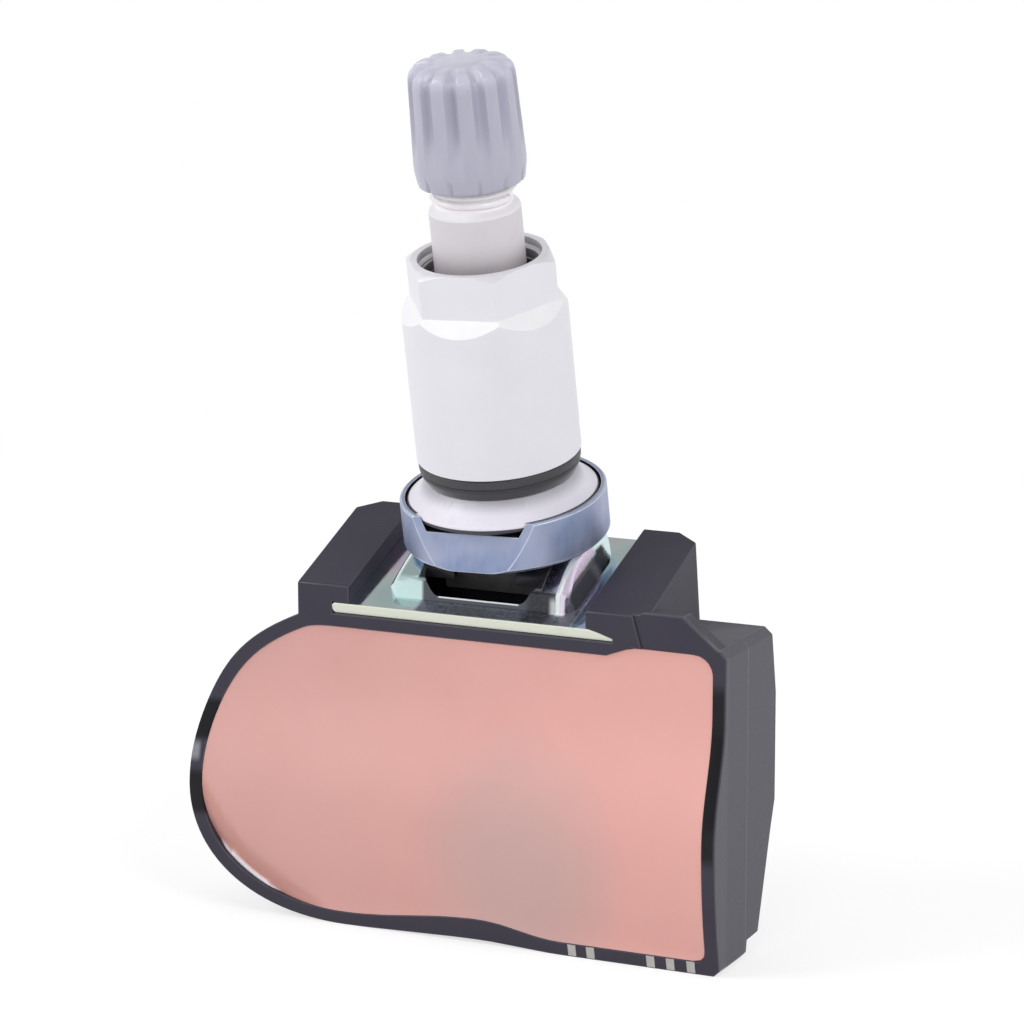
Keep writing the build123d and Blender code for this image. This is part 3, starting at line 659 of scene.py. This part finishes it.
def moulded(name, dark, light):
    """Charcoal plastic: glossy on the front rim, grained elsewhere.

    A parting line runs down the right side. Painted light: a lighter right side, black reflections on
    stretches of the rim and a highlight on the left rim.
    """
    material, start = new_finish(name, {"Specular IOR Level": 0.25})
    texture = grain(place_of(start), 0.16, detail=2)
    shade = grain(place_of(start), 6.0)
    across, depth, level = (part_of(place_of(start), axis) for axis in "XYZ")
    matt = smooth_step(depth, rim_front, rim_back)
    off_line = depth.maths("ABSOLUTE", depth - parting_y, 0.0)
    on_line = spread(off_line, 1.0, 0.0, line_core, line_reach)
    flash = on_line * smooth_step(across, case_high.x - 0.5 * mm, case_high.x - 0.3 * mm)
    # Painted light: the right side face is painted a lighter grey.
    side_tone = smooth_step(across, case_high.x - 0.9 * mm, case_high.x - 0.5 * mm) * matt * 0.85
    # Painted reflection: stretches of the front rim are painted black, with a glossier finish.
    right = window_of(across, 23.0, 24.3, 0.25) * window_of(level, -32.6, -19.0, 1.6)
    left = window_of(across, -28.0, -25.2, 0.5)
    upper_left = left * window_of(level, -27.4, -24.6, 0.8)
    lower_left = left * window_of(level, -34.2, -31.2, 1.0)
    black_reflection = (right + upper_left + lower_left) * (1 - matt)
    # Painted highlight: a pale spot on the left rim.
    painted_shading = window_of(across, -28.0, -26.9, 0.5) * window_of(level, -29.2, -28.6, 0.9) * (1 - matt)
    grained = between(side_tone, between(shade, (*dark, 1), (*light, 1)), lit_side_grey)
    plain = between(flash, grained, line_grey)
    feed(
        material,
        {
            "Base Color": between(painted_shading, between(black_reflection, plain, reflection_black), glint_grey),
            "Roughness": matt * spread(texture, 0.20, 0.30) + 0.22 - black_reflection * 0.12,
            "Normal": bumped(texture * matt + flash * 4.0, 0.012, 0.35),
        },
    )
    return material


charcoal = moulded("charcoal_plastic", (0.036, 0.032, 0.050), (0.050, 0.045, 0.066))
charcoal_edge = moulded("rubbed_edge", (0.060, 0.056, 0.075), (0.090, 0.085, 0.105))
case_edge = 0.10
dressed(
    "case",
    softened("housing", whole("housing"), case_edge, edge_slot=1),
    "sensor",
    "housing_plastic",
    [charcoal, charcoal_edge],
    "housing",
)


# Test marks
# Five short pale marks printed across the lower rim, at the right.
# Each is a thin patch of ink that lies on the rim's face.
def surface_of(node):
    """A solid's surface, to find where a line meets it."""
    mesh = frame["nodes"][node].data
    return BVHTree.FromPolygons([v.co for v in mesh.vertices], [p.vertices for p in mesh.polygons])


ink, start = new_finish("pale_ink")
patchy = grain(place_of(start), 0.3, detail=3)
feed(
    ink,
    {
        "Base Color": between(patchy, (0.84, 0.82, 0.80, 1), (0.95, 0.94, 0.92, 1)),
        "Roughness": spread(patchy, 0.45, 0.60),
        "Normal": bumped(patchy, 0.01, 0.4),
    },
)
mark_places = (10.45, 12.25, 18.05, 19.95, 21.90)
mark_width = 0.78 * mm
mark_low = case_low.z + 0.12 * mm
mark_high = case_low.z + 1.22 * mm
mark_lift = 0.012 * mm
mark_rows, mark_columns = 6, 4
ink_thickness = 0.02 * mm
stand_off = 5 * mm
backward = Vector((0, 1, 0))
case_surface = surface_of("housing")
mark_shape = bmesh.new()
for mark_x in mark_places:
    rows = []
    for step in range(mark_rows + 1):
        z = mark_low + (mark_high - mark_low) * step / mark_rows
        row = []
        for side in range(mark_columns + 1):
            x = mark_x * mm + mark_width * (side / mark_columns - 0.5)
            hit = case_surface.ray_cast(Vector((x, case_low.y - stand_off, z)), backward)[0]
            row.append(mark_shape.verts.new((x, hit.y - mark_lift, z)))
        rows.append(row)
    for below, above in zip(rows, rows[1:]):
        for n in range(mark_columns):
            mark_shape.faces.new((below[n], below[n + 1], above[n + 1], above[n]))
bmesh.ops.solidify(mark_shape, geom=mark_shape.faces[:], thickness=ink_thickness)
bmesh.ops.recalc_face_normals(mark_shape, faces=mark_shape.faces)
dressed("test_marks", mesh_of("marks.shape", mark_shape), "sensor", "housing_plastic", [ink])


# Electronics
# Circuit board with its coin cell, sensor package, coil, crystal, antenna and capacitors.
# They are soldered to the board and cast into the resin, so nothing of them shows.
board_green = mottled("solder_mask", (0.010, 0.060, 0.030), (0.020, 0.100, 0.050), 0.8, 0.35)
nickel = mottled("nickel_plate", (0.60, 0.59, 0.56), (0.74, 0.73, 0.70), 0.6, 0.25, metal)
package = mottled("moulded_package", (0.012, 0.012, 0.013), (0.028, 0.028, 0.030), 0.3, 0.55)
copper = mottled("copper_wire", (0.50, 0.20, 0.10), (0.72, 0.36, 0.20), 0.3, 0.3, metal)
fired = mottled("fired_ceramic", (0.42, 0.32, 0.22), (0.60, 0.48, 0.36), 0.4, 0.5)
finished(board_green, "circuit_board")
finished(nickel, "cell_can", "cell_lid", "plus_tab", "minus_tab", "antenna", "crystal")
finished(rubber, "cell_gasket", "port_seal")
finished(package, "sensor_chip", "coil_core")
finished(copper, "coil_winding")
finished(fired, "capacitor_1", "capacitor_2", "capacitor_3")


# Potting
# Salmon pink resin, cast over the electronics up to the housing's rim, where it creeps up the wall a little.
# Its face follows the swelling front of the case, with faint clouds in the colour and a grey stain low down.
sunk_pink = (0.66, 0.335, 0.290, 1)
glint_white = (0.97, 0.93, 0.98, 1)
stain_grey = (0.50, 0.415, 0.410, 1)
stain_x, stain_z = 5.5 * mm, -37.0 * mm
stain_width, stain_height = 8.0 * mm, 10.4 * mm
stain_strength = 0.58
resin, start = new_finish(
    "pink_resin", {"Subsurface Weight": 0.05, "Subsurface Scale": 0.002, "Specular IOR Level": 0.4}
)
clouds = grain(place_of(start), 9.0, detail=2)
specks = grain(place_of(start), 0.5, detail=2)
across, level = (part_of(place_of(start), axis) for axis in "XZ")
aside = (across - stain_x) / stain_width
below = (level - stain_z) / stain_height
from_stain = aside * aside + below * below + clouds * 0.6 - 0.3
stain = smooth_step(from_stain, -0.5, 2.0, stain_strength, 0.0)
upper = smooth_step(level, -43 * mm, -22 * mm)
rightward = smooth_step(across, -22 * mm, 22 * mm)
pink = between(clouds, (0.70, 0.365, 0.335, 1), (0.78, 0.435, 0.405, 1))
dusky = between(clouds, (0.71, 0.380, 0.345, 1), (0.78, 0.430, 0.395, 1))
bright = between(clouds, (0.80, 0.410, 0.370, 1), (0.86, 0.450, 0.405, 1))
cast_pink = between(rightward, between(upper, dusky, pink), bright)
sunk = start.node("ShaderNodeAttribute", {"attribute_name": "sunk"}, output="Fac")
# Painted highlight: a thin pale sliver along the rim at the lower left.
film = start.node("ShaderNodeAttribute", {"attribute_name": "film"}, output="Fac")
shrunk = between(sunk, between(stain, cast_pink, stain_grey), sunk_pink)
feed(
    resin,
    {
        "Base Color": between(film, shrunk, glint_white),
        "Roughness": spread(specks, 0.34, 0.44),
        "Normal": bumped(specks, 0.006, 0.3),
    },
)
resin_low, resin_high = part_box("potting")
resin_surface = surface_of("potting")
middle_x = (resin_low.x + resin_high.x) / 2
middle_z = (resin_low.z + resin_high.z) / 2
spokes = 360
rings = 26
ring_crowding = 1.8
halvings = 22
creep = 0.20 * mm
creep_width = 0.9 * mm
face_limit = -4.0 * mm
resin_depth = 5.0 * mm
resin_crease = radians(60)
rim_clear = 0.01 * mm
dip_turn = radians(206)
dip_half = radians(22)
dip_depth = 0.50 * mm
dip_width = 2.2 * mm
glint_turn = radians(207.5)
glint_half = radians(8.5)
glint_width = 0.36 * mm
glint_rise = 0.6
tint_width = 2.3 * mm
tint_soft = 0.5 * mm


def resin_front(x, z):
    """How far forward the cast face lies here, or None outside it."""
    hit = resin_surface.ray_cast(Vector((x, resin_low.y - stand_off, z)), backward)[0]
    return hit.y if hit and hit.y < face_limit else None


def reach_of(turn):
    """Distance from the middle to the edge of the cast face in this direction."""
    inside, outside = 0.0, (resin_high - resin_low).length
    for _ in range(halvings):
        guess = (inside + outside) / 2
        if resin_front(middle_x + guess * cos(turn), middle_z + guess * sin(turn)) is None:
            outside = guess
        else:
            inside = guess
    return inside - rim_clear


def along_rim(turn, middle, half):
    """1 at the middle of a stretch of the rim and 0 at its ends."""
    return max(0.0, 1 - ((turn - middle) / half) ** 2)


def dip_at(turn, inset):
    """How far the cast face has sunk here, from 0 to 1: it shrank from the rim at the lower left."""
    return along_rim(turn, dip_turn, dip_half) ** 2 * exp(-((inset / dip_width) ** 2))


def tint_at(turn, inset):
    """How much darker the sunk resin is here, from 0 to 1."""
    along = along_rim(turn, dip_turn, dip_half)
    return max(0.0, min(1.0, (tint_width * along - inset) / tint_soft + 0.5)) * min(1.0, 3 * along)


def glint_at(turn, inset):
    """A painted highlight: a thin pale sliver at the rim, from 0 to 1."""
    along = along_rim(turn, glint_turn, glint_half)
    return min(1.0, 2 * along) if inset < glint_width * along else 0.0


cast = bmesh.new()
tint = cast.verts.layers.float.new("sunk")
glint_layer = cast.verts.layers.float.new("film")
centre = cast.verts.new((middle_x, resin_front(middle_x, middle_z), middle_z))
loops = []
turns = [2 * pi * n / spokes for n in range(spokes)]
reaches = [reach_of(turn) for turn in turns]
for ring in range(1, rings + 1):
    share = 1 - (1 - ring / rings) ** ring_crowding
    loop = []
    for turn, reach in zip(turns, reaches):
        x = middle_x + share * reach * cos(turn)
        z = middle_z + share * reach * sin(turn)
        inset = (1 - share) * reach
        sunk_here = dip_at(turn, inset)
        glint_here = glint_at(turn, inset)
        sink = dip_depth * sunk_here * (1 - glint_rise * glint_here)
        y = resin_front(x, z) - creep * (1 - sunk_here) * exp(-inset / creep_width) + sink
        point = cast.verts.new((x, y, z))
        point[tint] = tint_at(turn, inset)
        point[glint_layer] = glint_here
        loop.append(point)
    loops.append(loop)
back_y = resin_high.y - resin_depth
loops.append([cast.verts.new((v.co.x, back_y, v.co.z)) for v in loops[-1]])
back = cast.verts.new((middle_x, back_y, middle_z))
for n in range(spokes):
    after = (n + 1) % spokes
    cast.faces.new((centre, loops[0][n], loops[0][after]))
    cast.faces.new((back, loops[-1][after], loops[-1][n]))
    for inner, outer in zip(loops, loops[1:]):
        cast.faces.new((inner[n], outer[n], outer[after], inner[after]))
bmesh.ops.recalc_face_normals(cast, faces=cast.faces)
cast_mesh = mesh_of("resin.shape", cast, resin_crease)
dressed("resin", cast_mesh, "sensor", "potting_resin", [resin], "potting")


# Rubber seal and nut washer
# A moulded rubber seal fills the rim's hole and lies on the flange. A dark plastic washer lies on it.
# The nut turns on the washer, so the seal isn't twisted.
washer_grey = mottled("washer_plastic", (0.036, 0.035, 0.041), (0.054, 0.053, 0.061), 0.4, 0.48)
seal_edge = 0.10
washer_edge = 0.05
seal_mesh = softened("rubber_seal", whole("rubber_seal"), seal_edge)
dressed("seal", seal_mesh, "valve", "black_rubber", [rubber], "rubber_seal")
washer_mesh = softened("nut_washer", whole("nut_washer"), washer_edge)
dressed("washer", washer_mesh, "washer", "washer_plastic", [washer_grey], "nut_washer")


# Sleeve nut
# Turned aluminium with a hexagon milled at its mouth and a clear satin finish.
# It screws down the shank over the washer and clamps the wheel's rim.
satin, start = new_finish("satin_aluminium", {"Metallic": 0.30, "IOR": 1.6})
turning = grain(place_on_valve(start, 10), 2.2, detail=5)
cloud = grain(place_of(start), 5.0)
feed(
    satin,
    {
        "Base Color": between(cloud, (0.78, 0.765, 0.82, 1), (0.85, 0.835, 0.89, 1)),
        "Roughness": spread(turning, 0.38, 0.48),
        "Normal": bumped(turning, 0.010, 0.3),
    },
)
# The bore's thread is darker deeper in the bore and lighter towards the mouth.
bore_depth_dark = (0.10, 0.09, 0.09, 1)
oiled, start = new_finish("oiled_thread", {"Metallic": 0.4})
film = grain(place_of(start), 0.8)
toward_mouth = along_valve(start, 15.6, 18.4)
mouth_grey = between(film, (0.66, 0.65, 0.67, 1), (0.80, 0.79, 0.81, 1))
feed(
    oiled,
    {
        "Base Color": between(toward_mouth, bore_depth_dark, mouth_grey),
        "Roughness": spread(film, 0.27, 0.43),
        "Normal": bumped(film, 0.01, 0.4),
    },
)
# The milled ledges are bare milled metal, and are also painted whiter as a painted highlight.
milled = mottled("milled_ledge", (0.88, 0.88, 0.91), (0.94, 0.94, 0.96), 1.5, 0.55)
bore_reach = 5.62 * mm
ledge_low, ledge_high = 13.0 * mm, 14.8 * mm
ledge_least, ledge_most = 0.5, 0.9
nut_edge = 0.035
nut_shape = whole("sleeve_nut")
nut_shape.normal_update()
for face in nut_shape.faces:
    corners = [off_valve @ v.co for v in face.verts]
    facing = (off_valve.to_3x3() @ face.normal).z
    if all(hypot(*c.xy) < bore_reach for c in corners):
        face.material_index = 1
    elif ledge_least < facing < ledge_most and all(ledge_low < c.z < ledge_high for c in corners):
        face.material_index = 2
nut_mesh = softened("sleeve_nut", nut_shape, nut_edge, slots=3)
dressed("nut", nut_mesh, "nut", "aluminium", [satin, oiled, milled], "sleeve_nut")
mouth_sizes = {
    "Radius": 5.36 * mm,
    "Pitch": 1.0 * mm,
    "Turns": 5.0,
    "Low": 12.8 * mm,
    "Depth": 0.24 * mm,
}
mouth_ridge = thread("nut_thread", oiled, mouth_sizes)
dressed("nut_thread", mouth_ridge, "nut", "aluminium", [oiled])


# Dust cap and its gasket
# Moulded lavender grey plastic with shallow flutes for the fingers and a lobed crown.
# It screws on the stem's end, and a rubber disc inside seals on the stem.
hollow_grey = (0.30, 0.30, 0.40, 1)
hollow_share = 0.35
cap_grey, start = new_finish("cap_plastic", {"Coat Weight": 0.4, "Coat Roughness": 0.15})
flow = grain(place_on_valve(start, 0.2), 1.2, detail=3)
polish = grain(place_of(start), 0.9, detail=2)
sag = grain(place_on_valve(start, 0.25), 1.6, detail=1)
# Painted light: the crown is painted lighter than the sides, as if lit from above.
crown = along_valve(start, 34.2, 36.0)
hollow = start.node("ShaderNodeAttribute", {"attribute_name": "hollow"}, output="Fac")
side_tone = between(flow, (0.41, 0.41, 0.51, 1), (0.495, 0.495, 0.595, 1))
lit_crown_grey = between(flow, (0.52, 0.52, 0.63, 1), (0.60, 0.60, 0.71, 1))
side_grey = between(hollow * hollow_share, side_tone, hollow_grey)
feed(
    cap_grey,
    {
        "Base Color": between(crown, side_grey, lit_crown_grey),
        "Roughness": spread(polish, 0.42, 0.50),
        "Normal": bumped(sag, 0.04, 0.15),
    },
)
# Radius and height of the cap's walls: inside from the rim seat, outside from the cap's mouth.
cap_inside = [(0, 32.85), (3.35, 32.85), (3.35, 32.0), (3.90, 31.8), (3.90, 26.1), (4.20, 25.7)]
cap_outside = [
    (4.22, 0.0), (4.30, 0.0), (4.62, 0.0), (4.70, 0.06), (4.76, 0.35), (4.84, 0.85), (4.92, 1.35),
    (4.95, 1.8), (4.93, 2.6), (4.90, 3.4), (4.87, 4.2), (4.85, 5.0), (4.82, 5.8), (4.79, 6.6),
    (4.77, 7.4), (4.74, 8.2), (4.72, 9.0), (4.69, 9.5), (4.64, 9.85), (4.52, 10.15), (4.32, 10.42),
    (4.05, 10.62), (3.70, 10.76), (3.30, 10.84), (2.90, 10.86), (2.50, 10.84), (2.15, 10.82),
    (1.95, 10.86), (1.80, 10.93), (1.60, 10.97), (1.20, 10.99), (0.70, 11.0), (0, 11.0),
]
cap_mouth = min((off_valve @ v.co).z for v in frame["nodes"]["dust_cap"].data.vertices) / mm
crown_start = 9.0
crown_share = 0.965
cap_crease = radians(50)
flutes = 12
flute_start = radians(12.5)
flute_depth, flute_width = 0.55, 7.5
notch_depth, notch_width = 0.22, 3.0
notch_turn = radians(9)
crown_drop, crown_width = 0.42, 9.0
mouth_loops = 2


def pressed(height):
    """A height on the cap's outside, with the crown pressed a little flatter."""
    return min(height, crown_start + (height - crown_start) * crown_share)


def eased(value, low, high):
    """Goes smoothly from 0 to 1 between two values."""
    share = min(max((value - low) / (high - low), 0), 1)
    return share * share * (3 - 2 * share)


def dent(turn, width):
    """1 in the middle of a flute and 0 on the lobes, for a flute that many degrees wide."""
    step = 2 * pi / flutes
    off = (turn - flute_start + step / 2) % step - step / 2
    return max(0.0, 1 - (off / radians(width)) ** 2)


shell = bmesh.new()
in_flute = shell.verts.layers.float.new("hollow")
cap_walls = cap_inside + [(radius, cap_mouth + pressed(height)) for radius, height in cap_outside]
loops = []
for n, (radius, up) in enumerate(cap_walls):
    if radius == 0:
        loops.append(shell.verts.new((0, 0, up * mm)))
        continue
    loop = []
    above = up - cap_mouth
    outside = n >= len(cap_inside)
    on_side = eased(above, 1.9, 6.4) * eased(radius, 2.3, 4.2) if outside else 0
    on_crown = eased(above, 9.6, 10.6) * eased(radius, 2.3, 3.6) if outside else 0
    on_lip = 1 - eased(above, 0.7, 1.3) if n >= len(cap_inside) + mouth_loops else 0
    for spoke in range(spokes):
        turn = 2 * pi * spoke / spokes
        in_side = on_side * dent(turn, flute_width)
        sink = in_side * flute_depth + on_lip * notch_depth * dent(turn + notch_turn, notch_width)
        drop = on_crown * crown_drop * dent(turn, crown_width)
        out = (radius - sink) * mm
        point = shell.verts.new((out * cos(turn), out * sin(turn), (up - drop) * mm))
        point[in_flute] = in_side
        loop.append(point)
    loops.append(loop)
for lower, upper in zip(loops, loops[1:]):
    for n in range(spokes):
        after = (n + 1) % spokes
        if isinstance(lower, list) and isinstance(upper, list):
            shell.faces.new((lower[n], lower[after], upper[after], upper[n]))
        elif isinstance(upper, list):
            shell.faces.new((lower, upper[after], upper[n]))
        else:
            shell.faces.new((lower[n], lower[after], upper))
bmesh.ops.recalc_face_normals(shell, faces=shell.faces)
shell.transform(on_valve)
cap_mesh = mesh_of("cap.shape", shell, cap_crease)
dressed("cap", cap_mesh, "cap", "cap_plastic", [cap_grey], "dust_cap")
finished(rubber, "cap_gasket")


# Floor and light
# A white sweep that keeps the shadow, one large soft light from the upper left and weaker ones round it.
# The camera stands a little to the right and above, with a long lens.
def ways_of(start):
    """1 on rays from the camera, on mirrored rays and on rays through glass."""
    names = ("Is Camera Ray", "Is Glossy Ray", "Is Transmission Ray")
    return [start.node("ShaderNodeLightPath", output=name) for name in names]


floor_half = 3.0
shadow_reach, white_reach = 0.10, 0.26
bed = bpy.data.meshes.new("floor")
corners = [(-1, -1), (1, -1), (1, 1), (-1, 1)]
bed.from_pydata([(x * floor_half, y * floor_half, cad_box[0].z) for x, y in corners], [], [(0, 1, 2, 3)])
floor = bpy.data.objects.new("floor", bed)
bpy.context.scene.collection.objects.link(floor)
floor_white = bpy.data.materials.new("floor_white")
floor_white.use_nodes = True
tree = floor_white.node_tree
start = Socket(tree)
seen, mirrored, through = ways_of(start)
shown = seen.maths("MINIMUM", seen + mirrored + through, 1.0)
away = start.node("ShaderNodeVectorMath", {"operation": "LENGTH"}, {0: place_of(start)}, output="Value")
far = smooth_step(away, shadow_reach, white_reach)
matt = start.node("ShaderNodeBsdfDiffuse", {}, {"Color": (0.42, 0.42, 0.43, 1)})
glow = start.node("ShaderNodeEmission", {}, {"Color": (1, 1, 1, 1), "Strength": shown * 0.44 + 0.24})
near = start.node("ShaderNodeAddShader", {}, {0: matt, 1: glow})
white = start.node("ShaderNodeEmission", {}, {"Color": (1, 1, 1, 1), "Strength": 1.0})
both = start.node("ShaderNodeMixShader", {}, {0: far, 1: near, 2: white})
tree.links.new(both.output, tree.nodes["Material Output"].inputs["Surface"])
tree.nodes.remove(tree.nodes["Principled BSDF"])
bed.materials.append(floor_white)

dark_side = (0.42, -0.88, 0.20)
tent_light, front_loss, ceiling_loss = 0.88, 0.65, 0.45
world = bpy.data.worlds.new("studio")
bpy.context.scene.world = world
world.use_nodes = True
tree = world.node_tree
start = Socket(tree)
seen, mirrored, through = ways_of(start)
way = start.node("ShaderNodeTexCoord", output="Generated")
towards = start.node(
    "ShaderNodeVectorMath", {"operation": "DOT_PRODUCT"}, {0: way, 1: dark_side}, output="Value"
)
front = smooth_step(towards, 0.45, 0.92)
ceiling = smooth_step(part_of(way, "Z"), 0.45, 0.75)
tent = tent_light - front * front_loss - ceiling * ceiling_loss
shown = seen.maths("MINIMUM", seen + through + mirrored * (1 - front) * (1 - ceiling), 1.0)
tree.links.new((tent + shown * (1 - tent)).output, tree.nodes["Background"].inputs["Strength"])
tree.nodes["Background"].inputs["Color"].default_value = (1, 1, 1, 1)

lamp_aim = Vector((0, 0, -0.01))
for name, spot, size, watts in (
    ("key", (-0.60, -0.45, 0.50), 0.40, 2.4),
    ("side", (0.60, -0.35, 0.45), 0.40, 2.0),
    ("front", (0.15, -0.80, 0.32), 0.40, 1.1),
    ("top", (-0.05, -0.10, 0.75), 0.50, 0.3),
):
    lamp = bpy.data.lights.new(name, "AREA")
    lamp.shape = "DISK"
    lamp.size = size
    lamp.energy = watts
    light = bpy.data.objects.new(name, lamp)
    light.location = spot
    light.rotation_euler = (lamp_aim - Vector(spot)).to_track_quat("-Z", "Y").to_euler()
    bpy.context.scene.collection.objects.link(light)

camera_tilt, camera_turn = radians(90 - 11.5), radians(25)
lens = bpy.data.cameras.new("camera")
lens.lens = 140.6
lens.sensor_width = 36
lens.clip_start = 0.01
lens.clip_end = 20
camera = bpy.data.objects.new("camera", lens)
camera.location = (0.1498, -0.3185, 0.0659)
camera.rotation_euler = (camera_tilt, 0, camera_turn)
bpy.context.scene.collection.objects.link(camera)
bpy.context.scene.camera = camera
bpy.context.scene.view_settings.view_transform = "Standard"
